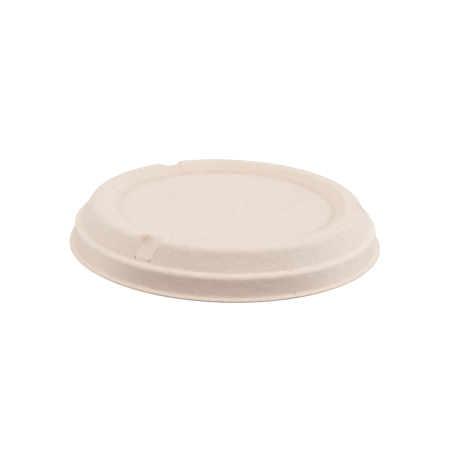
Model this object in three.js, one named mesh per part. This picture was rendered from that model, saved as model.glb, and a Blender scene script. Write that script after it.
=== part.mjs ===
// The lid of a takeaway bowl, moulded in one piece from sugarcane pulp.
// Millimetres, +Z up. The origin is the middle of the flat ring that the lid stands on.
//
// The lid is one wall of even thickness. Its outer face is a section of straight lines and
// rounded corners, turned about Z. From the middle outwards the section is the sunken panel, the
// slope up to the raised ring, the ring's crest and its outer wall, a narrow ledge, the rounded
// shoulder, the skirt that snaps over a bowl's rim, and the flared flange.
// Notches are pressed into the ring's outer side, so that stacked lids come apart.
import * as THREE from "three";

// The wall and the flange
const wallThickness = 0.8;
const rimDiameter = 186;
const flangeReach = 2.8;
const flareFillet = 1.9;

// The skirt leans inwards as it rises, and ends in the shoulder
const skirtHeight = 13.2;
const skirtLean = 0.7;
const shoulderFillet = 3;

// The ledge, from the shoulder's corner in and down to the foot of the ring
const ledgeRun = 3.3;
const ledgeDrop = 0.35;
const footFillet = 1.1;

// The raised ring
const ringWallRun = 6.4;
const ringWallRise = 11.95;
const crestWidth = 8.4;
const crestOuterFillet = 4.6;
const crestInnerFillet = 6;

// The sunken panel and the slope down to it
const panelDepth = 4.8;
const panelSlopeRun = 8.4;
const creaseFillet = 1.2;

// The notches in the ring: each is a ramp from the ring's crest down to a lip on its outer wall
const notchCount = 3;
const firstNotchAngle = 118.5;
const notchHeadRun = 1.5;
const notchHeadFillet = 3;
const notchLipRise = 2.6;
const notchLipFillet = 1.6;
const notchFloorWidth = 7.4;
const notchFlankRun = 4.6;
const notchFlankLeastRun = 1.2;

// How finely the curves are cut
const stepsBetweenNotches = 18;
const stepsAcrossFlank = 3;
const stepsAcrossFloor = 2;
const stepsRoundCrease = 2;
const stepsRoundCrest = 3;
const stepsRoundBrink = 4;
const stepsRoundFoot = 3;
const stepsRoundShoulder = 4;
const stepsRoundFlare = 3;

const rimRadius = rimDiameter / 2;
const skirtFootRadius = rimRadius - flangeReach;
const shoulderRadius = skirtFootRadius - skirtLean;
const shoulderHeight = wallThickness + skirtHeight;
const footRadius = shoulderRadius - ledgeRun;
const footHeight = shoulderHeight - ledgeDrop;
const crestOuterRadius = footRadius - ringWallRun;
const crestHeight = footHeight + ringWallRise;
const crestInnerRadius = crestOuterRadius - crestWidth;
const creaseRadius = crestInnerRadius - panelSlopeRun;
const panelHeight = crestHeight - panelDepth;

// A corner of the section: the point where its two straight lines would meet, the radius that
// rounds it, and the steps along that rounding.
function corner(r, z, fillet = 0, steps = 0) {
  return { at: new THREE.Vector2(r, z), fillet, steps };
}

// The outer face's section, with the crest's two corners given.
function sectionCorners(innerCrest, outerCrest) {
  return [
    corner(0, panelHeight),
    corner(creaseRadius, panelHeight, creaseFillet, stepsRoundCrease),
    innerCrest,
    outerCrest,
    corner(footRadius, footHeight, footFillet, stepsRoundFoot),
    corner(shoulderRadius, shoulderHeight, shoulderFillet, stepsRoundShoulder),
    corner(skirtFootRadius, wallThickness, flareFillet, stepsRoundFlare),
    corner(rimRadius, wallThickness),
  ];
}

function plainCorners() {
  return sectionCorners(
    corner(crestInnerRadius, crestHeight, crestInnerFillet, stepsRoundCrest),
    corner(crestOuterRadius, crestHeight, crestOuterFillet, stepsRoundBrink),
  );
}

// Through the middle of a notch the crest's two corners move: the inner one goes out along the
// crest to the head of the ramp, and the outer one goes down the ring's wall to its lip.
function notchedCorners() {
  const lipRadius = footRadius - (ringWallRun * notchLipRise) / ringWallRise;
  return sectionCorners(
    corner(crestInnerRadius + notchHeadRun, crestHeight, notchHeadFillet, stepsRoundCrest),
    corner(lipRadius, footHeight + notchLipRise, notchLipFillet, stepsRoundBrink),
  );
}

// How far from a corner its rounding starts, along both of its lines.
function tangentLengths(corners) {
  return corners.map(({ at, fillet }, i) => {
    if (fillet === 0) return 0;
    const back = corners[i - 1].at.clone().sub(at);
    const ahead = corners[i + 1].at.clone().sub(at);
    return fillet / Math.tan(Math.abs(back.angleTo(ahead)) / 2);
  });
}

// The share of a line that the roundings at its two ends may take up.
const mostOfLine = 0.96;

// The points of a path whose corners are rounded by arcs. Where two roundings would meet on
// their common line, both are made smaller.
function roundedPath(corners) {
  const lengths = tangentLengths(corners);
  const fit = (a, b) => {
    const room = mostOfLine * corners[a].at.distanceTo(corners[b].at);
    return Math.min(1, room / (lengths[a] + lengths[b]));
  };
  const path = [];
  corners.forEach(({ at, fillet, steps }, i) => {
    if (fillet === 0) {
      path.push(at.clone());
      return;
    }
    const scale = Math.min(fit(i - 1, i), fit(i, i + 1));
    const back = corners[i - 1].at.clone().sub(at).normalize();
    const ahead = corners[i + 1].at.clone().sub(at).normalize();
    const start = at.clone().addScaledVector(back, lengths[i] * scale);
    const end = at.clone().addScaledVector(ahead, lengths[i] * scale);
    const middle = back.add(ahead).normalize();
    const centre = at.clone().addScaledVector(middle, Math.hypot(lengths[i], fillet) * scale);
    const spokes = [start.sub(centre), end.sub(centre)];
    const turn = Math.atan2(spokes[0].cross(spokes[1]), spokes[0].dot(spokes[1]));
    for (let k = 0; k <= steps; k++) {
      const spoke = spokes[0].clone().rotateAround(new THREE.Vector2(), (turn * k) / steps);
      path.push(spoke.add(centre));
    }
  });
  return path;
}

// The same path moved inwards by the wall's thickness, mitred so that each line moves by just
// that much.
function innerPath(path) {
  const normals = path.slice(1).map((point, i) => {
    const line = point.clone().sub(path[i]).normalize();
    return new THREE.Vector2(line.y, -line.x);
  });
  return path.map((point, i) => {
    const before = normals[Math.max(i - 1, 0)];
    const after = normals[Math.min(i, normals.length - 1)];
    const mitre = before.clone().add(after).normalize();
    return point.clone().addScaledVector(mitre, wallThickness / mitre.dot(after));
  });
}

const plain = roundedPath(plainCorners());
const notched = roundedPath(notchedCorners());

// The run of the notch's flanks at each point of the section. It grows with the point's height
// over the ramp, so that the flanks have an even slope.
const [head, lip] = notchedCorners().slice(2, 4);
const ramp = lip.at.clone().sub(head.at).normalize();
const heights = plain.map((point) => Math.max(0, ramp.cross(point.clone().sub(head.at))));
const notchDepth = Math.max(...heights);
const flankRuns = heights.map((height) => {
  return THREE.MathUtils.lerp(notchFlankLeastRun, notchFlankRun, height / notchDepth);
});

// The outer and the inner face: each one's plain section, its section through the middle of a
// notch, and half the width of the notch's floor. The inner face's floor is wider, by the amount
// that keeps the wall's thickness in the notch's flanks.
const flankAngle = Math.atan2(notchDepth, notchFlankRun);
const outerFace = { plain, notched, floorHalf: notchFloorWidth / 2 };
const innerFace = {
  plain: innerPath(plain),
  notched: innerPath(notched),
  floorHalf: notchFloorWidth / 2 + wallThickness * Math.tan(flankAngle / 2),
};

// The columns of points round the lid. One in a notch lies at a share of half the floor's width
// and at a share of the flank's run from the notch's middle, and the others have an angle alone.
function lidColumns() {
  const columns = [];
  const pitch = (2 * Math.PI) / notchCount;
  const halfNotch = (notchFloorWidth / 2 + notchFlankRun) / crestOuterRadius;
  for (let n = 0; n < notchCount; n++) {
    const angle = THREE.MathUtils.degToRad(firstNotchAngle) + n * pitch;
    const inNotch = (floor, flank) => columns.push({ angle, floor, flank, depth: 1 - Math.abs(flank) });
    for (let k = stepsAcrossFlank; k > 0; k--) inNotch(-1, -k / stepsAcrossFlank);
    for (let k = 0; k <= stepsAcrossFloor; k++) inNotch((2 * k) / stepsAcrossFloor - 1, 0);
    for (let k = 1; k <= stepsAcrossFlank; k++) inNotch(1, k / stepsAcrossFlank);
    const step = (pitch - 2 * halfNotch) / stepsBetweenNotches;
    for (let k = 1; k < stepsBetweenNotches; k++) {
      columns.push({ angle: angle + halfNotch + k * step, floor: 0, flank: 0, depth: 0 });
    }
  }
  return columns;
}

function facePoint(face, i, column) {
  const across = column.floor * face.floorHalf + column.flank * flankRuns[i];
  const angle = column.angle + across / crestOuterRadius;
  const { x: r, y: z } = face.plain[i].clone().lerp(face.notched[i], column.depth);
  return new THREE.Vector3(r * Math.cos(angle), r * Math.sin(angle), z);
}

// One closed mesh: the outer face, the inner face, and the flange's edge between them. A face of
// four corners is cut along its shorter diagonal, or the first one where they are as good as even.
const diagonalSlack = 0.01;

function lidGeometry() {
  const columns = lidColumns();
  const rim = plain.length - 1;
  const points = [outerFace, innerFace].flatMap((face) => [
    new THREE.Vector3(0, 0, face.plain[0].y),
    ...columns.flatMap((column) => face.plain.slice(1).map((_, i) => facePoint(face, i + 1, column))),
  ]);
  const vertex = (side, c, i) => {
    const first = side * (1 + columns.length * rim);
    return i === 0 ? first : first + (c % columns.length) * rim + i;
  };
  const faces = [];
  const addQuad = (a, b, c, d) => {
    const alongFirst = points[a].distanceTo(points[c]) <= points[b].distanceTo(points[d]) + diagonalSlack;
    faces.push(...(alongFirst ? [a, b, c, a, c, d] : [b, c, d, b, d, a]));
  };
  columns.forEach((_, c) => {
    faces.push(vertex(0, c, 0), vertex(0, c, 1), vertex(0, c + 1, 1));
    faces.push(vertex(1, c, 0), vertex(1, c + 1, 1), vertex(1, c, 1));
    for (let i = 1; i < rim; i++) {
      addQuad(vertex(0, c, i), vertex(0, c, i + 1), vertex(0, c + 1, i + 1), vertex(0, c + 1, i));
      addQuad(vertex(1, c, i), vertex(1, c + 1, i), vertex(1, c + 1, i + 1), vertex(1, c, i + 1));
    }
    addQuad(vertex(0, c, rim), vertex(1, c, rim), vertex(1, c + 1, rim), vertex(0, c + 1, rim));
  });
  const geometry = new THREE.BufferGeometry().setFromPoints(points);
  geometry.setIndex(faces);
  geometry.computeVertexNormals();
  return geometry;
}

const pulp = new THREE.MeshStandardMaterial({
  name: "moulded_pulp",
  color: new THREE.Color("#dccfc3"),
  roughness: 0.85,
  metalness: 0,
  flatShading: true,
});

const lid = new THREE.Mesh(lidGeometry(), pulp);
lid.name = "lid";

const bowlLid = new THREE.Group();
bowlLid.name = "bowl_lid";
bowlLid.add(lid);

export default bowlLid;
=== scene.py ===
"""The lid of a takeaway bowl, moulded in one piece from sugarcane pulp, with its stage.

Lengths are in metres. The lid stands on the plane z = 0, centred on the Z axis.
"""
import bpy
import numpy as np
from bpy.props import FloatProperty, FloatVectorProperty, IntProperty, PointerProperty
from math import acos, atan2, cos, pi, radians, sin, tan
from mathutils import Matrix, Vector


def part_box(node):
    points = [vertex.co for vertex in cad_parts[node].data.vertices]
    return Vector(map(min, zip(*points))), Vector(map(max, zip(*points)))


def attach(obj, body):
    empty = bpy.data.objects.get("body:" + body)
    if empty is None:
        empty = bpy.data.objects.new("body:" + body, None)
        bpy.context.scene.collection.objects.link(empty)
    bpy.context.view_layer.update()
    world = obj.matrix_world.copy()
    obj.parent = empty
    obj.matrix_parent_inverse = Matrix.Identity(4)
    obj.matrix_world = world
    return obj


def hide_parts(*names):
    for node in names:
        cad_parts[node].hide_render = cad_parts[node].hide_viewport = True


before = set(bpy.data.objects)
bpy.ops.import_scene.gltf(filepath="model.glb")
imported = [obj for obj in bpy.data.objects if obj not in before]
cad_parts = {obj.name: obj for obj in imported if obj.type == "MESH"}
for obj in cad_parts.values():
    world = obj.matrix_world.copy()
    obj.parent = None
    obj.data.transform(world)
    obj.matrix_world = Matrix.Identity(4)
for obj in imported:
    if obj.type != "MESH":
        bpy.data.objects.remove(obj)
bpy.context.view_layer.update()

bl_info = {
    "name": "Moulded pulp bowl lid",
    "version": (1, 0, 0),
    "blender": (4, 5, 0),
    "location": "View3D > Sidebar > Bowl Lid",
    "description": "Builds a moulded pulp lid for a takeaway bowl, and a soft studio round it",
    "category": "Add Mesh",
}

LOWEST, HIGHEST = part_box("lid")
RIM_RADIUS = HIGHEST.x
CREST_HEIGHT = HIGHEST.z
MM = 0.001


# Sizes and colours that a user would change

class LidSizes(bpy.types.PropertyGroup):
    """The section of the lid and its notches."""

    wall: FloatProperty(
        name="Wall", description="Thickness of the pulp", default=0.8 * MM, unit="LENGTH")
    rim_radius: FloatProperty(
        name="Rim radius", description="Radius of the flange's edge", default=RIM_RADIUS, unit="LENGTH")
    crest_height: FloatProperty(
        name="Height", description="Height of the ring's crest", default=CREST_HEIGHT, unit="LENGTH")
    flange_reach: FloatProperty(
        name="Flange reach", description="From the skirt's foot out to the edge",
        default=2.8 * MM, unit="LENGTH")
    skirt_height: FloatProperty(
        name="Skirt height", description="From the flange's top to the shoulder's corner",
        default=13.2 * MM, unit="LENGTH")
    skirt_lean: FloatProperty(
        name="Skirt lean", description="How far the skirt leans inwards", default=0.7 * MM, unit="LENGTH")
    ledge_run: FloatProperty(
        name="Ledge run", description="From the shoulder's corner in to the ring's foot",
        default=3.3 * MM, unit="LENGTH")
    ledge_drop: FloatProperty(
        name="Ledge drop", description="From the shoulder's corner down to the ring's foot",
        default=0.35 * MM, unit="LENGTH")
    ring_wall_run: FloatProperty(
        name="Ring wall run", description="From the ring's foot in to its crest",
        default=6.4 * MM, unit="LENGTH")
    crest_width: FloatProperty(
        name="Crest width", description="Between the crest's two corners", default=8.4 * MM, unit="LENGTH")
    panel_depth: FloatProperty(
        name="Panel depth", description="From the crest down to the panel", default=4.8 * MM, unit="LENGTH")
    panel_slope_run: FloatProperty(
        name="Panel slope run", description="From the crest in to the panel's edge",
        default=8.4 * MM, unit="LENGTH")
    notch_count: IntProperty(
        name="Notches", description="Notches round the ring", default=3, min=1)
    first_notch: FloatProperty(
        name="First notch", description="Angle of the first notch from +X",
        default=radians(118.5), subtype="ANGLE")
    notch_head_run: FloatProperty(
        name="Notch head run", description="From the crest's inner corner out to the ramp's head",
        default=1.5 * MM, unit="LENGTH")
    notch_lip_rise: FloatProperty(
        name="Notch lip rise", description="From the ring's foot up to the ramp's lip",
        default=2.6 * MM, unit="LENGTH")
    notch_floor: FloatProperty(
        name="Notch floor", description="Width of the ramp", default=7.4 * MM, unit="LENGTH")
    notch_flank: FloatProperty(
        name="Notch flank", description="Run of the ramp's flanks where they are deepest",
        default=4.6 * MM, unit="LENGTH")
    waviness: FloatProperty(
        name="Waviness", description="How far the pressed wall strays from its true shape",
        default=0.09 * MM, unit="LENGTH")


class PulpFinish(bpy.types.PropertyGroup):
    """The colours and the relief of the pulp."""

    pulp: FloatVectorProperty(
        name="Pulp", description="Colour of the pulp", subtype="COLOR", size=3,
        default=(0.835, 0.738, 0.659))
    fibre: FloatVectorProperty(
        name="Fibre", description="Colour of the coarse fibres", subtype="COLOR", size=3,
        default=(0.40, 0.22, 0.10))
    grain_height: FloatProperty(
        name="Grain height", description="Height of the surface's grain", default=0.35 * MM, unit="LENGTH")


class StageLight(bpy.types.PropertyGroup):
    """The floor and the light."""

    sky: FloatVectorProperty(
        name="Sky", description="Light from behind, above and the left", subtype="COLOR", size=3,
        default=(0.906, 0.914, 0.922))
    right: FloatVectorProperty(
        name="Right", description="Light added from the right, as a share of the sky's",
        subtype="COLOR", size=3, default=(0.34, 0.48, 0.66))
    key: FloatProperty(
        name="Key", description="Light added from above the camera, as a share of the sky's", default=0.86)
    shade: FloatVectorProperty(
        name="Shade", description="Light from the camera's side, as a share of the sky's",
        subtype="COLOR", size=3, default=(0.60, 0.45, 0.31))
    floor: FloatVectorProperty(
        name="Floor", description="Colour that the floor gives back to the lid", subtype="COLOR",
        size=3, default=(0.84, 0.83, 0.82))
    near_floor: FloatVectorProperty(
        name="Near floor", description="The same on the camera's side", subtype="COLOR", size=3,
        default=(0.17, 0.08, 0.06))


# The section: straight lines with rounded corners, from the axis outwards

# The radius of the tiny ring about the axis that the panel starts from
CENTRE_HOLE = 0.4 * MM

# How far each corner of the section is rounded
CREASE_FILLET = 1.2 * MM
CREST_INNER_FILLET = 6.0 * MM
CREST_OUTER_FILLET = 4.6 * MM
FOOT_FILLET = 0.5 * MM
SHOULDER_FILLET = 3.0 * MM
FLARE_FILLET = 1.3 * MM
NOTCH_HEAD_FILLET = 3.0 * MM
NOTCH_LIP_FILLET = 1.6 * MM

# The share of a line that the roundings at its two ends may take up
MOST_OF_LINE = 0.96


def corner(radius, height, fillet=0.0, arc_steps=0, line_steps=1):
    """A corner, its rounding, the steps along that, and the steps along the line that follows."""
    return {"at": np.array([radius, height]), "fillet": fillet, "arc": arc_steps, "line": line_steps}


def rounding_reach(corners, i):
    """How far from its corner a rounding starts: fillet / tan(half the angle between the lines)."""
    if corners[i]["fillet"] == 0.0:
        return 0.0
    back = corners[i - 1]["at"] - corners[i]["at"]
    ahead = corners[i + 1]["at"] - corners[i]["at"]
    cosine = back @ ahead / np.linalg.norm(back) / np.linalg.norm(ahead)
    return corners[i]["fillet"] / tan(acos(cosine) / 2)


def rounded_path(corners):
    """Replaces each corner by an arc that touches both of its lines.

    The arc starts its reach away from the corner, and its centre is on the lines' bisector, at
    the root of reach squared plus fillet squared. Where two roundings would take up more than
    their share of their common line, both are made smaller.
    """
    reaches = [rounding_reach(corners, i) for i in range(len(corners))]
    lengths = [np.linalg.norm(b["at"] - a["at"]) for a, b in zip(corners, corners[1:])]
    taken = [max(a + b, 0.001 * MM) for a, b in zip(reaches, reaches[1:])]
    room = [MOST_OF_LINE * length / both for length, both in zip(lengths, taken)]
    runs = []
    for i, here in enumerate(corners):
        if here["fillet"] == 0.0:
            runs.append(here["at"][None, :])
            continue
        scale = min(1.0, room[i - 1], room[i])
        back = (corners[i - 1]["at"] - here["at"]) / lengths[i - 1]
        ahead = (corners[i + 1]["at"] - here["at"]) / lengths[i]
        middle = (back + ahead) / np.linalg.norm(back + ahead)
        centre = here["at"] + middle * scale * np.hypot(reaches[i], here["fillet"])
        start = here["at"] + back * scale * reaches[i] - centre
        end = here["at"] + ahead * scale * reaches[i] - centre
        turn = atan2(start[0] * end[1] - start[1] * end[0], start @ end)
        angles = np.linspace(0.0, turn, here["arc"] + 1)[:, None]
        quarter_on = np.array([-start[1], start[0]])
        runs.append(centre + np.cos(angles) * start + np.sin(angles) * quarter_on)
    path = []
    for i, here in enumerate(corners[:-1]):
        share = np.linspace(0.0, 1.0, here["line"] + 1)[1:-1, None]
        path += [runs[i], runs[i][-1] * (1 - share) + runs[i + 1][0] * share]
    return np.concatenate(path + [runs[-1]])


def section_corners(sizes, inner_crest, outer_crest, detail):
    """The outer face's corners, with the two of the crest given. Detail scales the steps."""
    def steps(count):
        return max(1, round(count * detail))

    foot, shoulder, skirt_foot = ring_foot(sizes), shoulder_corner(sizes), skirt_foot_radius(sizes)
    panel_height = sizes.crest_height - sizes.panel_depth
    crease = crest_inner_radius(sizes) - sizes.panel_slope_run
    return [
        corner(CENTRE_HOLE, panel_height, line_steps=steps(26)),
        corner(crease, panel_height, CREASE_FILLET, steps(5), steps(6)),
        corner(*inner_crest, steps(9), steps(10)),
        corner(*outer_crest, steps(14), steps(9)),
        corner(*foot, FOOT_FILLET, steps(6), steps(1)),
        corner(*shoulder, SHOULDER_FILLET, steps(13), steps(10)),
        corner(skirt_foot, sizes.wall, FLARE_FILLET, steps(11), steps(1)),
        corner(sizes.rim_radius, sizes.wall),
    ]


def skirt_foot_radius(sizes):
    """Where the skirt's line meets the flange."""
    return sizes.rim_radius - sizes.flange_reach


def shoulder_corner(sizes):
    """Radius and height of the point where the skirt's line meets the ledge's."""
    return skirt_foot_radius(sizes) - sizes.skirt_lean, sizes.wall + sizes.skirt_height


def ring_foot(sizes):
    """Radius and height of the point where the ledge's line meets the ring's outer wall."""
    radius, height = shoulder_corner(sizes)
    return radius - sizes.ledge_run, height - sizes.ledge_drop


def crest_outer_radius(sizes):
    """Where the ring's outer wall meets its crest."""
    return ring_foot(sizes)[0] - sizes.ring_wall_run


def crest_inner_radius(sizes):
    """Where the crest meets the slope down to the panel."""
    return crest_outer_radius(sizes) - sizes.crest_width


def plain_section(sizes, detail):
    """The section between the notches."""
    inner = (crest_inner_radius(sizes), sizes.crest_height, CREST_INNER_FILLET)
    outer = (crest_outer_radius(sizes), sizes.crest_height, CREST_OUTER_FILLET)
    return rounded_path(section_corners(sizes, inner, outer, detail))


def ramp_ends(sizes):
    """The head of a notch's ramp, on the crest, and its lip, on the ring's outer wall."""
    foot_radius, foot_height = ring_foot(sizes)
    wall_rise = sizes.crest_height - foot_height
    head = (crest_inner_radius(sizes) + sizes.notch_head_run, sizes.crest_height)
    rise = sizes.notch_lip_rise
    lip = (foot_radius - sizes.ring_wall_run * rise / wall_rise, foot_height + rise)
    return np.array(head), np.array(lip)


def notched_section(sizes, detail):
    """The section through the middle of a notch."""
    head, lip = ramp_ends(sizes)
    inner, outer = (*head, NOTCH_HEAD_FILLET), (*lip, NOTCH_LIP_FILLET)
    return rounded_path(section_corners(sizes, inner, outer, detail))


def inner_path(path, wall):
    """The path moved inwards by the wall, mitred so that each of its lines moves by just that."""
    lines = np.diff(path, axis=0)
    lines /= np.linalg.norm(lines, axis=1)[:, None]
    normals = np.stack([lines[:, 1], -lines[:, 0]], axis=1)
    before = np.concatenate([normals[:1], normals])
    after = np.concatenate([normals, normals[-1:]])
    mitres = before + after
    mitres /= np.linalg.norm(mitres, axis=1)[:, None]
    return path + mitres * wall / (mitres * after).sum(axis=1)[:, None]


# The lid's surface: sections turned about Z, each a blend of the plain and the notched one

COLUMNS_PER_FLANK = 9
COLUMNS_PER_FLOOR = 8
COLUMNS_BETWEEN = 92
LEAST_FLANK_RUN = 1.2 * MM
FLANK_ROUNDING = 0.75

# The inner face's share of the outer one's steps
INNER_DETAIL = 0.55

# The waves by which the pressed wall strays: sideways, and up and down
SIDEWAYS_WAVE = 34 * MM
LONG_WAVE = 26 * MM
SHORT_WAVE = 9 * MM
UPWARD_SHARE = 0.6
SETTLING = 1.4
STEADY_HEIGHT = 4 * MM


def lid_columns(sizes):
    """The columns round the lid: angle, share of half the notch's floor, share of its flank."""
    pitch = 2 * pi / sizes.notch_count
    half_notch = (sizes.notch_floor / 2 + sizes.notch_flank) / crest_outer_radius(sizes)
    flank = np.arange(1, COLUMNS_PER_FLANK + 1) / COLUMNS_PER_FLANK
    floor = np.linspace(-1.0, 1.0, COLUMNS_PER_FLOOR + 1)
    between = np.arange(1, COLUMNS_BETWEEN) / COLUMNS_BETWEEN
    angles, floors, flanks = [], [], []
    for n in range(sizes.notch_count):
        middle = sizes.first_notch + n * pitch
        in_notch = 2 * COLUMNS_PER_FLANK + len(floor)
        angles += [np.full(in_notch, middle), middle + half_notch + between * (pitch - 2 * half_notch)]
        floors += [np.full(COLUMNS_PER_FLANK, -1.0), floor, np.full(COLUMNS_PER_FLANK, 1.0)]
        flanks += [-flank[::-1], np.zeros(len(floor)), flank]
        floors.append(np.zeros(len(between)))
        flanks.append(np.full(len(between), np.nan))
    return np.concatenate(angles), np.concatenate(floors), np.concatenate(flanks)


def notch_depth_share(flank):
    """1 on the notch's floor, 0 outside it, and on the flank a ramp that is rounded at both ends.

    With t the share of the flank, the ramp is 1 - t + rounding * sin(2 pi t) / (2 pi).
    """
    t = np.abs(np.nan_to_num(flank, nan=1.0))
    return 1 - t + FLANK_ROUNDING * np.sin(2 * pi * t) / (2 * pi)


def flank_runs(sizes, plain):
    """The flank's run at each point of the section. It grows with the height over the ramp."""
    head, lip = ramp_ends(sizes)
    along = (lip - head) / np.linalg.norm(lip - head)
    off = plain - head
    heights = np.maximum(0.0, along[0] * off[:, 1] - along[1] * off[:, 0])
    runs = LEAST_FLANK_RUN + (sizes.notch_flank - LEAST_FLANK_RUN) * heights / heights.max()
    return runs, atan2(heights.max(), sizes.notch_flank)


def face_grid(sizes, plain, notched, floor_half, runs):
    """Points (columns, rows, 3): radius and height of the blended section, turned about Z.

    Section point i of a column is plain[i] + depth * (notched[i] - plain[i]). Its angle is the
    notch's plus (floor share * half floor + flank share * run[i]) / the crest's radius.
    """
    angles, floors, flanks = lid_columns(sizes)
    depth = notch_depth_share(flanks)[:, None, None]
    sections = plain[None] * (1 - depth) + notched[None] * depth
    across = floors[:, None] * floor_half + np.nan_to_num(flanks)[:, None] * runs[None]
    turn = angles[:, None] + across / crest_outer_radius(sizes)
    radius, height = sections[..., 0], sections[..., 1]
    return np.stack([radius * np.cos(turn), radius * np.sin(turn), height], axis=2)


def wander(points, seed, wavelength, waves=14):
    """A smooth pattern about 0, with a spread of about 1: the sum of some plane waves.

    Each is sin(2 pi * distance / length + phase), in a direction, length and phase of its own.
    """
    rng = np.random.default_rng(seed)
    directions = rng.normal(size=(waves, 3))
    directions /= np.linalg.norm(directions, axis=1)[:, None]
    lengths = wavelength * rng.uniform(0.6, 1.6, waves)
    phases = rng.uniform(0.0, 2 * pi, waves)
    turns = points @ (2 * pi * directions / lengths[:, None]).T + phases
    return np.sin(turns).sum(axis=-1) / np.sqrt(waves / 2)


def press_unevenly(points, sizes):
    """Moves the points by a few hundredths of a millimetre, as the wet pulp dries unevenly.

    The height moves by 0.6 of a long wave and 0.4 of a short one, less the settling. All moves
    fade out under the steady height, so that the lid still stands on its flange.
    """
    rise = np.clip(points[..., 2:] / STEADY_HEIGHT, 0.0, 1.0)
    sideways = np.stack([wander(points, seed, SIDEWAYS_WAVE) for seed in (11, 12)], axis=-1)
    up = 0.6 * wander(points, 13, LONG_WAVE) + 0.4 * wander(points, 14, SHORT_WAVE) - SETTLING
    moved = points.copy()
    moved[..., :2] += rise * sideways * sizes.waviness
    moved[..., 2:] += rise * up[..., None] * sizes.waviness * UPWARD_SHARE
    return moved


def lid_grid(sizes):
    """The whole closed surface as one grid: the outer face outwards, then the inner face back."""
    outer = [make(sizes, 1.0) for make in (plain_section, notched_section)]
    runs, flank_angle = flank_runs(sizes, outer[0])
    outer_face = face_grid(sizes, *outer, sizes.notch_floor / 2, runs)
    coarse = [make(sizes, INNER_DETAIL) for make in (plain_section, notched_section)]
    inner = [inner_path(path, sizes.wall) for path in coarse]
    widened = sizes.notch_floor / 2 + sizes.wall * tan(flank_angle / 2)
    inner_face = face_grid(sizes, *inner, widened, flank_runs(sizes, coarse[0])[0])
    edge = rounded_edge(outer_face[:, -1], inner_face[:, -1])
    grid = np.concatenate([outer_face[:, :-1], edge, inner_face[:, -2::-1]], axis=1)
    return press_unevenly(grid, sizes)


def rounded_edge(top, bottom, steps=8):
    """The flange's cut edge: from top to bottom, as a half ellipse a third as deep as it is high."""
    angles = np.linspace(-pi / 2, pi / 2, steps + 1)
    middle, half = (top + bottom) / 2, (top - bottom) / 2
    outwards = middle * [1.0, 1.0, 0.0]
    outwards /= np.linalg.norm(outwards, axis=1)[:, None]
    depth = np.linalg.norm(half, axis=1)[:, None] / 3
    shift = (np.cos(angles) - 1)[None, :, None] * (depth * outwards)[:, None]
    return middle[:, None] - half[:, None] * np.sin(angles)[None, :, None] + shift


def closed_mesh(name, grid):
    """A mesh of a grid (columns, rows) that closes on itself round the columns.

    Its first and last rows are tiny rings about the axis, and each is closed by one more point.
    """
    columns, rows = grid.shape[:2]
    index = np.arange(columns * rows).reshape(columns, rows)
    after = np.roll(index, -1, axis=0)
    quads = np.stack([index[:, :-1], index[:, 1:], after[:, 1:], after[:, :-1]], axis=-1).reshape(-1, 4)
    top, bottom = columns * rows, columns * rows + 1
    top_fan = np.stack([np.full(columns, top), index[:, 0], after[:, 0]], axis=1)
    bottom_fan = np.stack([np.full(columns, bottom), after[:, -1], index[:, -1]], axis=1)
    ends = np.stack([grid[:, 0].mean(axis=0), grid[:, -1].mean(axis=0)])
    points = np.concatenate([grid.reshape(-1, 3), ends])
    mesh = bpy.data.meshes.new(name)
    mesh.from_pydata(points, [], quads.tolist() + top_fan.tolist() + bottom_fan.tolist())
    mesh.polygons.foreach_set("use_smooth", np.ones(len(mesh.polygons), dtype=bool))
    mesh.update()
    return mesh


# Shader nodes

def link(tree, source, target):
    tree.links.new(source, target)


def math_node(tree, operation, first, second=None, clamp=False):
    """A Math node whose inputs are sockets or plain numbers. Returns its output."""
    node = tree.nodes.new("ShaderNodeMath")
    node.operation, node.use_clamp = operation, clamp
    for socket, value in zip(node.inputs, (first, second)):
        if isinstance(value, bpy.types.NodeSocket):
            link(tree, value, socket)
        elif value is not None:
            socket.default_value = value
    return node.outputs[0]


def vector_node(tree, operation, first, second=None, scale=None):
    """A Vector Math node. Returns its vector output, or its value where it has one."""
    node = tree.nodes.new("ShaderNodeVectorMath")
    node.operation = operation
    for socket, value in zip(node.inputs, (first, second)):
        if isinstance(value, bpy.types.NodeSocket):
            link(tree, value, socket)
        elif value is not None:
            socket.default_value = value
    if scale is not None:
        if isinstance(scale, bpy.types.NodeSocket):
            link(tree, scale, node.inputs["Scale"])
        else:
            node.inputs["Scale"].default_value = scale
    return node.outputs["Value" if operation in {"LENGTH", "DOT_PRODUCT", "DISTANCE"} else "Vector"]


def range_node(tree, value, low, high, to_low=0.0, to_high=1.0):
    """A smooth step of value from low to high."""
    node = tree.nodes.new("ShaderNodeMapRange")
    node.interpolation_type = "SMOOTHSTEP"
    link(tree, value, node.inputs["Value"])
    for name, number in (("From Min", low), ("From Max", high), ("To Min", to_low), ("To Max", to_high)):
        socket = node.inputs[name]
        if isinstance(number, bpy.types.NodeSocket):
            link(tree, number, socket)
        else:
            socket.default_value = number
    return node.outputs["Result"]


def noise_node(tree, vector, scale, detail=2.0, roughness=0.5):
    node = tree.nodes.new("ShaderNodeTexNoise")
    link(tree, vector, node.inputs["Vector"])
    node.inputs["Scale"].default_value = scale
    node.inputs["Detail"].default_value = detail
    node.inputs["Roughness"].default_value = roughness
    return node.outputs["Fac"]


def mix_colour(tree, factor, first, second, blend="MIX"):
    node = tree.nodes.new("ShaderNodeMix")
    node.data_type, node.blend_type = "RGBA", blend
    for socket, value in ((node.inputs[0], factor), (node.inputs[6], first), (node.inputs[7], second)):
        if isinstance(value, bpy.types.NodeSocket):
            link(tree, value, socket)
        elif isinstance(value, float):
            socket.default_value = value
        else:
            socket.default_value = (*value, 1.0)
    return node.outputs[2]


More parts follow.
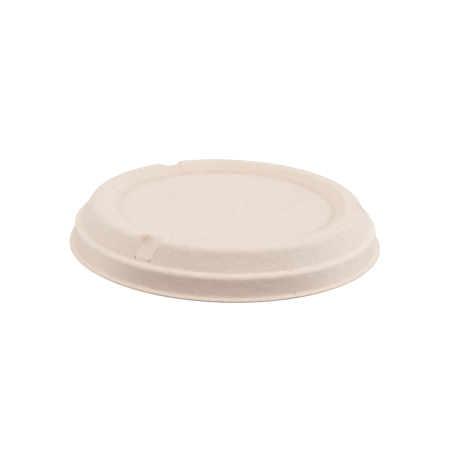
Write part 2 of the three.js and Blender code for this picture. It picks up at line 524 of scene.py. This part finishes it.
def new_group(name, inputs, outputs):
    """An empty shader node group. Inputs are (name, type, default), outputs are (name, type)."""
    group = bpy.data.node_groups.new(name, "ShaderNodeTree")
    for title, kind, default in inputs:
        socket = group.interface.new_socket(title, in_out="INPUT", socket_type=kind)
        if default is not None:
            socket.default_value = default
    for title, kind in outputs:
        group.interface.new_socket(title, in_out="OUTPUT", socket_type=kind)
    return group, group.nodes.new("NodeGroupInput"), group.nodes.new("NodeGroupOutput")


def use_group(tree, group, **values):
    """Places a group in a material. Its inputs are given by name, as sockets or plain values."""
    node = tree.nodes.new("ShaderNodeGroup")
    node.node_tree = group
    for title, value in values.items():
        socket = node.inputs[title.replace("_", " ")]
        if isinstance(value, bpy.types.NodeSocket):
            link(tree, value, socket)
        else:
            socket.default_value = value
    return node


# The pulp

# Spacing, length, width, the share of cells that hold a fibre, how dark it is, and a shift
FIBRE_SORTS = (
    (16 * MM, 2.2 * MM, 0.5 * MM, 0.45, 0.30, 0.0),
    (7 * MM, 1.5 * MM, 0.45 * MM, 0.5, 0.12, 0.31),
    (3 * MM, 1.2 * MM, 0.35 * MM, 0.7, 0.07, 0.77),
)

# The smallest fibre of a sort, as a share of its size, and how much larger the largest is
LEAST_FIBRE = 0.45
FIBRE_SPREAD = 0.8

# Wavelength and weight of each noise in the pulp's colour
MOTTLE_SORTS = ((30 * MM, 0.03), (4.5 * MM, 0.03), (1.3 * MM, 0.05))

# The sizes of the grain's three noises, and how high the other two are against the lumps
LUMP_SIZE = 1.5 * MM
FELT_SIZE = 0.45 * MM
SWELL_SIZE = 6.0 * MM
SWELL_SHARE = 1.5
FELT_SHARE = 0.55

# The brown marks beside a notch's lip: from the notch's middle, over the ring's foot, and size
MARK_OFFSET = 3.6 * MM
MARK_RISE = 1.5 * MM
MARK_LEAN = 0.5
MARK_HALF_WIDTH = 0.55 * MM
MARK_HALF_HEIGHT = 0.95 * MM
MARK_STRENGTH = 0.62

# The tints that the pulp's colour is multiplied by: painted shade, and painted light on shoulder and flange
EDGE_SHADE_TINT = (0.86, 0.76, 0.66)
SLOPE_WARM_SHADE_TINT = (0.995, 0.98, 0.955)
CREASE_SHADE_TINT = (0.955, 0.94, 0.925)
NOTCH_HEAD_SHADE_TINT = (0.90, 0.86, 0.83)
SHOULDER_LIGHT_TINT = (1.05, 1.06, 1.07)
FLANGE_LIGHT_TINT = (1.07, 1.08, 1.09)

# Bands of tint: from the edge that a band is measured from to its middle, the half width that is
# tinted in full, and the half width that is tinted at all
CREASE_BAND = (0.6 * MM, 0.3 * MM, 2.8 * MM)
NOTCH_HEAD_BAND = (4.6 * MM, 1.2 * MM, 4.2 * MM)
NOTCH_SIDE_BAND = (-3.4 * MM, 1.8 * MM, 5.0 * MM)
SHOULDER_BAND = (-1.7 * MM, 1.3 * MM, 2.2 * MM)
FLANGE_BAND = (-1.3 * MM, 0.7 * MM, 1.6 * MM)


def fibre_group():
    """Short dashes that lie in the surface, one in each of a share of the cells of a cell pattern.

    A dash is drawn round its cell's point, in a direction of its own that is laid flat on the
    surface. The mask is 1 where the point's offset is under half the length along the dash and
    under half the width across it.
    """
    group, given, made = new_group(
        "Coarse fibres",
        [("Vector", "NodeSocketVector", None), ("Normal", "NodeSocketVector", None),
         ("Spacing", "NodeSocketFloat", 8 * MM), ("Length", "NodeSocketFloat", 2 * MM),
         ("Width", "NodeSocketFloat", 0.3 * MM), ("Share", "NodeSocketFloat", 0.5)],
        [("Mask", "NodeSocketFloat")])
    cells = group.nodes.new("ShaderNodeTexVoronoi")
    cells.feature = "F1"
    link(group, given.outputs["Vector"], cells.inputs["Vector"])
    link(group, math_node(group, "DIVIDE", 1.0, given.outputs["Spacing"]), cells.inputs["Scale"])
    chance = group.nodes.new("ShaderNodeSeparateColor")
    link(group, cells.outputs["Color"], chance.inputs["Color"])
    normal = given.outputs["Normal"]

    def laid_flat(vector):
        off = vector_node(group, "DOT_PRODUCT", vector, normal)
        return vector_node(group, "SUBTRACT", vector, vector_node(group, "SCALE", normal, scale=off))

    offset = laid_flat(vector_node(group, "SUBTRACT", given.outputs["Vector"], cells.outputs["Position"]))
    tilt = vector_node(group, "SUBTRACT", cells.outputs["Color"], (0.5, 0.5, 0.5))
    direction = vector_node(group, "NORMALIZE", laid_flat(tilt))
    along = vector_node(group, "DOT_PRODUCT", offset, direction)
    distance = vector_node(group, "LENGTH", offset)
    squares = math_node(group, "SUBTRACT", math_node(group, "POWER", distance, 2.0),
                        math_node(group, "POWER", math_node(group, "ABSOLUTE", along), 2.0))
    across = math_node(group, "SQRT", math_node(group, "MAXIMUM", squares, 0.0))
    spread = math_node(group, "MULTIPLY", chance.outputs["Green"], FIBRE_SPREAD / 2)
    half_size = math_node(group, "ADD", LEAST_FIBRE / 2, spread)
    half_length = math_node(group, "MULTIPLY", given.outputs["Length"], half_size)
    half_width = math_node(group, "MULTIPLY", given.outputs["Width"], half_size)
    in_length = math_node(group, "SUBTRACT", 1.0, math_node(
        group, "DIVIDE", math_node(group, "ABSOLUTE", along), half_length), clamp=True)
    in_width = math_node(group, "SUBTRACT", 1.0, math_node(group, "DIVIDE", across, half_width), clamp=True)
    shape = math_node(group, "MULTIPLY", range_node(group, in_length, 0.0, 0.35),
                      range_node(group, in_width, 0.0, 0.6))
    kept = math_node(group, "LESS_THAN", chance.outputs["Red"], given.outputs["Share"])
    link(group, math_node(group, "MULTIPLY", shape, kept), made.inputs["Mask"])
    return group


def mottle_group():
    """The pulp's uneven colour: the colour times 1 plus the sum of three sizes of noise."""
    group, given, made = new_group(
        "Pulp mottle",
        [("Vector", "NodeSocketVector", None), ("Colour", "NodeSocketColor", (0.8, 0.8, 0.8, 1.0)),
         ("Strength", "NodeSocketFloat", 1.0)],
        [("Colour", "NodeSocketColor")])
    total = None
    for wavelength, weight in MOTTLE_SORTS:
        noise = noise_node(group, given.outputs["Vector"], 1.0 / wavelength, detail=2.0)
        part = math_node(group, "MULTIPLY", math_node(group, "SUBTRACT", noise, 0.5), 2 * weight)
        total = part if total is None else math_node(group, "ADD", total, part)
    factor = math_node(group, "ADD", 1.0, math_node(group, "MULTIPLY", total, given.outputs["Strength"]))
    scaled = vector_node(group, "SCALE", given.outputs["Colour"], scale=factor)
    link(group, scaled, made.inputs["Colour"])
    return group


def grain_group():
    """The relief of pressed pulp: rounded lumps of about a millimetre under a finer, felted noise."""
    group, given, made = new_group(
        "Pulp grain",
        [("Vector", "NodeSocketVector", None), ("Lumps", "NodeSocketFloat", 1.0),
         ("Felt", "NodeSocketFloat", 0.5)],
        [("Height", "NodeSocketFloat")])
    lumps = noise_node(group, given.outputs["Vector"], 1.0 / LUMP_SIZE, detail=1.5)
    felt = noise_node(group, given.outputs["Vector"], 1.0 / FELT_SIZE, detail=3.0, roughness=0.6)
    swell = noise_node(group, given.outputs["Vector"], 1.0 / SWELL_SIZE, detail=1.0)
    height = math_node(group, "ADD", math_node(group, "MULTIPLY", lumps, given.outputs["Lumps"]),
                       math_node(group, "MULTIPLY", felt, given.outputs["Felt"]))
    height = math_node(group, "ADD", height, math_node(group, "MULTIPLY", swell, SWELL_SHARE))
    link(group, height, made.inputs["Height"])
    return group


def height_and_reach(tree, position):
    """The height of a point, and its distance from the axis."""
    parts = tree.nodes.new("ShaderNodeSeparateXYZ")
    link(tree, position, parts.inputs[0])
    flat = vector_node(tree, "MULTIPLY", position, (1.0, 1.0, 0.0))
    return parts.outputs["Z"], vector_node(tree, "LENGTH", flat)


def round_notch(tree, position, sizes):
    """The distance round the lid from the middle of the nearest notch, at the crest's radius."""
    parts = tree.nodes.new("ShaderNodeSeparateXYZ")
    link(tree, position, parts.inputs[0])
    angle = math_node(tree, "ARCTAN2", parts.outputs["Y"], parts.outputs["X"])
    pitch = 2 * pi / sizes.notch_count
    turned = math_node(tree, "SUBTRACT", angle, sizes.first_notch - pitch / 2 - 2 * pi)
    folded = math_node(tree, "SUBTRACT", math_node(tree, "MODULO", turned, pitch), pitch / 2)
    return math_node(tree, "MULTIPLY", folded, crest_outer_radius(sizes))


def notch_marks(tree, across, height, reach, sizes):
    """The two small brown marks that each notch has at the foot of its lip, as a mask.

    A mark is where the distance across the notch and the height, each measured from the mark's
    middle over its half size and squared, make less than 1 together. It leans with the height.
    """
    rise = math_node(tree, "SUBTRACT", height, ring_foot(sizes)[1])
    lean = math_node(tree, "MULTIPLY", rise, MARK_LEAN)
    upright = math_node(tree, "SUBTRACT", math_node(tree, "ABSOLUTE", across), lean)

    def square_off(value, middle, half):
        off = math_node(tree, "DIVIDE", math_node(tree, "SUBTRACT", value, middle), half)
        return math_node(tree, "MULTIPLY", off, off)

    total = math_node(tree, "ADD", square_off(upright, MARK_OFFSET, MARK_HALF_WIDTH),
                      square_off(rise, MARK_RISE, MARK_HALF_HEIGHT))
    mark = range_node(tree, total, 1.0, 0.3)
    on_ring = math_node(tree, "GREATER_THAN", reach, crest_outer_radius(sizes))
    return math_node(tree, "MULTIPLY", mark, on_ring)


def with_fibres(tree, colour, position, normal, fibre):
    """Lays each sort of fibre over the colour, with its cells shifted so that no two agree."""
    fibres = fibre_group()
    for spacing, length, width, share, strength, shift in FIBRE_SORTS:
        moved = vector_node(tree, "ADD", position, (shift, -shift, 0.6 * shift))
        dashes = use_group(tree, fibres, Vector=moved, Normal=normal, Spacing=spacing, Length=length,
                           Width=width, Share=share)
        amount = math_node(tree, "MULTIPLY", dashes.outputs["Mask"], strength)
        colour = mix_colour(tree, amount, colour, fibre)
    return colour


def band(tree, value, edge, offset, full, reach):
    """1 within full of the middle, which is the edge plus the offset, and 0 beyond reach of it."""
    off = math_node(tree, "ABSOLUTE", math_node(tree, "SUBTRACT", value, edge + offset))
    return range_node(tree, off, reach, full)


def tinted(tree, mask, colour, tint):
    """The colour, times the tint where the mask is 1."""
    return mix_colour(tree, mask, colour, vector_node(tree, "MULTIPLY", colour, tint))


def painted_shade_tints(tree, colour, across, height, reach, sizes):
    """Painted shade, as darker and warmer tints: warm shade on the slope, and shade in the crease and in
    the notches' heads.

    They are the slope down to the panel, the crease at its foot, and the head of each notch on
    one of its sides. Each is a band of the distance from the axis, the height or the angle.
    """
    run = sizes.panel_slope_run
    crest = crest_inner_radius(sizes)
    # Painted warm shade on the slope down to the panel
    slope = band(tree, reach, crest - run, 0.5 * run, 0.36 * run, 0.62 * run)
    colour = tinted(tree, slope, colour, SLOPE_WARM_SHADE_TINT)
    # Painted shade in the crease at the slope's foot
    colour = tinted(tree, band(tree, reach, crest - run, *CREASE_BAND), colour, CREASE_SHADE_TINT)
    # Painted shade on one side of each notch's head, below the crest
    side = band(tree, across, 0.0, *NOTCH_SIDE_BAND)
    ring = band(tree, reach, crest, *NOTCH_HEAD_BAND)
    sunk = range_node(tree, height, sizes.crest_height - 0.5 * MM, sizes.crest_height - 1.6 * MM)
    head = math_node(tree, "MULTIPLY", math_node(tree, "MULTIPLY", side, ring), sunk)
    return tinted(tree, head, colour, NOTCH_HEAD_SHADE_TINT)


def painted_light_tints(tree, colour, height, reach, sizes):
    """Painted light: paler tints on the lid's shoulder and its flange."""
    shoulder_radius, shoulder_height = shoulder_corner(sizes)
    # Painted light on the shoulder
    high = range_node(tree, height, shoulder_height - 3.2 * MM, shoulder_height - 1.0 * MM)
    shoulder = math_node(tree, "MULTIPLY", band(tree, reach, shoulder_radius, *SHOULDER_BAND), high)
    colour = tinted(tree, shoulder, colour, SHOULDER_LIGHT_TINT)
    # Painted light on the flange
    low = range_node(tree, height, 2.2 * MM, 1.3 * MM)
    flange = math_node(tree, "MULTIPLY", band(tree, reach, sizes.rim_radius, *FLANGE_BAND), low)
    return tinted(tree, flange, colour, FLANGE_LIGHT_TINT)


def cut_edge_shade(tree, height, reach, sizes):
    """The flange's cut edge, under its top, as a mask for painted shade."""
    outermost = range_node(tree, reach, sizes.rim_radius - 0.35 * MM, sizes.rim_radius - 0.1 * MM)
    under_top = range_node(tree, height, sizes.wall, 0.7 * sizes.wall)
    return math_node(tree, "MULTIPLY", outermost, under_top)


def pulp_material(sizes, finish):
    """Pale, matt moulded pulp with a mottled colour, felted grain and a few brown fibres."""
    material = bpy.data.materials.new("moulded_pulp")
    material.use_nodes = True
    tree = material.node_tree
    shader = tree.nodes["Principled BSDF"]
    coordinates = tree.nodes.new("ShaderNodeTexCoord")
    position, normal = coordinates.outputs["Object"], coordinates.outputs["Normal"]
    height, reach = height_and_reach(tree, position)
    across = round_notch(tree, position, sizes)
    mottled = use_group(tree, mottle_group(), Vector=position, Colour=(*finish.pulp, 1.0), Strength=1.0)
    colour = with_fibres(tree, mottled.outputs["Colour"], position, normal, finish.fibre)
    marks = math_node(tree, "MULTIPLY", notch_marks(tree, across, height, reach, sizes), MARK_STRENGTH)
    colour = mix_colour(tree, marks, colour, finish.fibre)
    # Painted shade: darker and browner on the flange's cut edge
    colour = tinted(tree, cut_edge_shade(tree, height, reach, sizes), colour, EDGE_SHADE_TINT)
    # Painted shade on the slope, in the crease and in one side of each notch's head
    colour = painted_shade_tints(tree, colour, across, height, reach, sizes)
    # Painted light on the shoulder and the flange
    colour = painted_light_tints(tree, colour, height, reach, sizes)
    link(tree, colour, shader.inputs["Base Color"])
    shader.inputs["Roughness"].default_value = 0.9
    shader.inputs["Specular IOR Level"].default_value = 0.12
    grain = use_group(tree, grain_group(), Vector=position, Lumps=1.0, Felt=FELT_SHARE)
    bump = tree.nodes.new("ShaderNodeBump")
    bump.inputs["Strength"].default_value = 1.0
    bump.inputs["Distance"].default_value = finish.grain_height
    link(tree, grain.outputs["Height"], bump.inputs["Height"])
    link(tree, bump.outputs["Normal"], shader.inputs["Normal"])
    return material


# The operators

class BOWLLID_OT_lid(bpy.types.Operator):
    """Makes the lid as one closed surface of pulp"""

    bl_idname = "bowl_lid.lid"
    bl_label = "Pulp Lid"

    def execute(self, context):
        sizes, finish = context.scene.bowl_lid_sizes, context.scene.bowl_lid_finish
        mesh = closed_mesh("pulp_lid", lid_grid(sizes))
        mesh.materials.append(pulp_material(sizes, finish))
        lid = bpy.data.objects.new("pulp_lid", mesh)
        context.scene.collection.objects.link(lid)
        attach(lid, "root")
        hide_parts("lid")
        return {"FINISHED"}


# The stage

# The photograph's view, which the stage is set for
VIEW_FOCUS = Vector((-0.2 * MM, 0.0, 9.0 * MM))
VIEW_DISTANCE = 0.744
VIEW_ELEVATION = radians(20.77)
VIEW_ROLL = radians(1.74)
VIEW_WIDTH = 450
VIEW_FOCAL = 1240.0

# The floor's half side, how far it is under the lid, and how it looks to the camera
FLOOR_HALF = 4.0
FLOOR_DROP = 0.05 * MM
SEEN_FLOOR = (0.30, 0.295, 0.29)
FLOOR_GLOW = 0.80


def from_front(turn, elevation):
    """A direction, turned from the camera's side towards the right, and up."""
    return Vector((cos(elevation) * sin(turn), -cos(elevation) * cos(turn), sin(elevation)))


# Where the light differs from the even sky, and how far from there it does, as a cosine
SHADE_FROM = from_front(0.14, 0.50)
SHADE_RANGE = (0.64, 0.93)
KEY_FROM = from_front(-0.08, 0.80)
KEY_SHARPNESS = 8.0
NEAR_FLOOR_FROM = from_front(-0.04, 0.0)
NEAR_FLOOR_RANGE = (0.68, 0.95)


def stage_camera(scene):
    """Looks along +Y and down, rolled a little, with the photograph's field of view."""
    data = bpy.data.cameras.new("camera")
    data.sensor_width = 36.0
    data.lens = VIEW_FOCAL * data.sensor_width / VIEW_WIDTH
    camera = bpy.data.objects.new("camera", data)
    turn = Matrix.Rotation(pi / 2 - VIEW_ELEVATION, 4, "X") @ Matrix.Rotation(VIEW_ROLL, 4, "Z")
    back = turn @ Vector((0.0, 0.0, 1.0))
    camera.matrix_world = Matrix.Translation(VIEW_FOCUS + back * VIEW_DISTANCE) @ turn
    scene.collection.objects.link(camera)
    scene.camera = camera


def floor_material(light):
    """A pale floor that is dark on the camera's side, as the room round the studio is.

    Its colour runs from the one to the other with the cosine of the angle about the lid. The
    camera sees it mostly lit up white, which leaves a light shadow on it.
    """
    material = bpy.data.materials.new("studio_floor")
    material.use_nodes = True
    tree = material.node_tree
    output = tree.nodes["Material Output"]
    tree.nodes.remove(tree.nodes["Principled BSDF"])
    position = tree.nodes.new("ShaderNodeTexCoord").outputs["Object"]
    outwards = vector_node(tree, "NORMALIZE", position)
    towards_camera = vector_node(tree, "DOT_PRODUCT", outwards, tuple(NEAR_FLOOR_FROM))
    near = range_node(tree, towards_camera, *NEAR_FLOOR_RANGE)
    bounce = tree.nodes.new("ShaderNodeBsdfDiffuse")
    link(tree, mix_colour(tree, near, tuple(light.floor), tuple(light.near_floor)), bounce.inputs["Color"])
    seen = tree.nodes.new("ShaderNodeBsdfDiffuse")
    seen.inputs["Color"].default_value = (*SEEN_FLOOR, 1.0)
    glow = tree.nodes.new("ShaderNodeEmission")
    glow.inputs["Strength"].default_value = FLOOR_GLOW
    both = tree.nodes.new("ShaderNodeAddShader")
    link(tree, seen.outputs[0], both.inputs[0])
    link(tree, glow.outputs[0], both.inputs[1])
    mix = tree.nodes.new("ShaderNodeMixShader")
    link(tree, seen_directly(tree), mix.inputs[0])
    link(tree, bounce.outputs[0], mix.inputs[1])
    link(tree, both.outputs[0], mix.inputs[2])
    link(tree, mix.outputs[0], output.inputs["Surface"])
    return material


def seen_directly(tree):
    """1 for rays from the camera and for rays that a gloss or a glass sends on."""
    path = tree.nodes.new("ShaderNodeLightPath")
    first = math_node(tree, "MAXIMUM", path.outputs["Is Camera Ray"], path.outputs["Is Glossy Ray"])
    return math_node(tree, "MAXIMUM", first, path.outputs["Is Transmission Ray"])


def stage_floor(scene, light):
    """One square, a little under the lid so that the two never touch."""
    sides = ((-1, -1), (1, -1), (1, 1), (-1, 1))
    corners = [(x * FLOOR_HALF, y * FLOOR_HALF, -FLOOR_DROP) for x, y in sides]
    mesh = bpy.data.meshes.new("floor")
    mesh.from_pydata(corners, [], [(0, 1, 2, 3)])
    mesh.materials.append(floor_material(light))
    floor = bpy.data.objects.new("floor", mesh)
    scene.collection.objects.link(floor)


def stage_sky(scene, light):
    """An even sky that is dim and warm low on the camera's side. The camera itself sees it white.

    The sky's colour runs smoothly to the shade's with the cosine of the angle from the middle of
    the shade. It is times 1 + right * x for a direction's x above 0, and then the key is added,
    times the cosine of the angle from the key's direction to a power.
    """
    world = bpy.data.worlds.new("studio")
    world.use_nodes = True
    scene.world = world
    tree = world.node_tree
    direction = tree.nodes.new("ShaderNodeTexCoord").outputs["Generated"]

    def cosine(towards):
        return math_node(tree, "MAXIMUM", vector_node(tree, "DOT_PRODUCT", direction, tuple(towards)), 0.0)

    shaded = range_node(tree, cosine(SHADE_FROM), *SHADE_RANGE)
    share = mix_colour(tree, shaded, (1.0, 1.0, 1.0), tuple(light.shade))
    right = vector_node(tree, "SCALE", tuple(light.right), scale=cosine((1.0, 0.0, 0.0)))
    share = vector_node(tree, "MULTIPLY", share, vector_node(tree, "ADD", right, (1.0, 1.0, 1.0)))
    lobe = math_node(tree, "MULTIPLY", math_node(tree, "POWER", cosine(KEY_FROM), KEY_SHARPNESS), light.key)
    share = vector_node(tree, "ADD", share, vector_node(tree, "SCALE", (1.0, 1.0, 1.0), scale=lobe))
    sky = vector_node(tree, "MULTIPLY", share, tuple(light.sky))
    colour = mix_colour(tree, seen_directly(tree), sky, (1.0, 1.0, 1.0))
    link(tree, colour, tree.nodes["Background"].inputs["Color"])


class BOWLLID_OT_stage(bpy.types.Operator):
    """Sets the pale floor, the soft light and the camera"""

    bl_idname = "bowl_lid.stage"
    bl_label = "Studio Stage"

    def execute(self, context):
        scene = context.scene
        scene.view_settings.view_transform = "Standard"
        stage_camera(scene)
        stage_floor(scene, scene.bowl_lid_light)
        stage_sky(scene, scene.bowl_lid_light)
        return {"FINISHED"}


class BOWLLID_PT_panel(bpy.types.Panel):
    """Lists the lid's sizes, its finish and its light"""

    bl_idname = "BOWLLID_PT_panel"
    bl_label = "Bowl Lid"
    bl_space_type = "VIEW_3D"
    bl_region_type = "UI"
    bl_category = "Bowl Lid"

    def draw(self, context):
        for settings, operator in (("bowl_lid_sizes", None), ("bowl_lid_finish", "bowl_lid.lid"),
                                   ("bowl_lid_light", "bowl_lid.stage")):
            group = getattr(context.scene, settings)
            for name in group.__annotations__:
                self.layout.prop(group, name)
            if operator:
                self.layout.operator(operator)


CLASSES = (LidSizes, PulpFinish, StageLight, BOWLLID_OT_lid, BOWLLID_OT_stage, BOWLLID_PT_panel)
SETTINGS = {"bowl_lid_sizes": LidSizes, "bowl_lid_finish": PulpFinish, "bowl_lid_light": StageLight}


def register():
    for each in CLASSES:
        bpy.utils.register_class(each)
    for name, group in SETTINGS.items():
        setattr(bpy.types.Scene, name, PointerProperty(type=group))


def unregister():
    for name in SETTINGS:
        delattr(bpy.types.Scene, name)
    for each in reversed(CLASSES):
        bpy.utils.unregister_class(each)


def main():
    register()
    bpy.ops.bowl_lid.lid()
    bpy.ops.bowl_lid.stage()


if __name__ == "__main__":
    main()
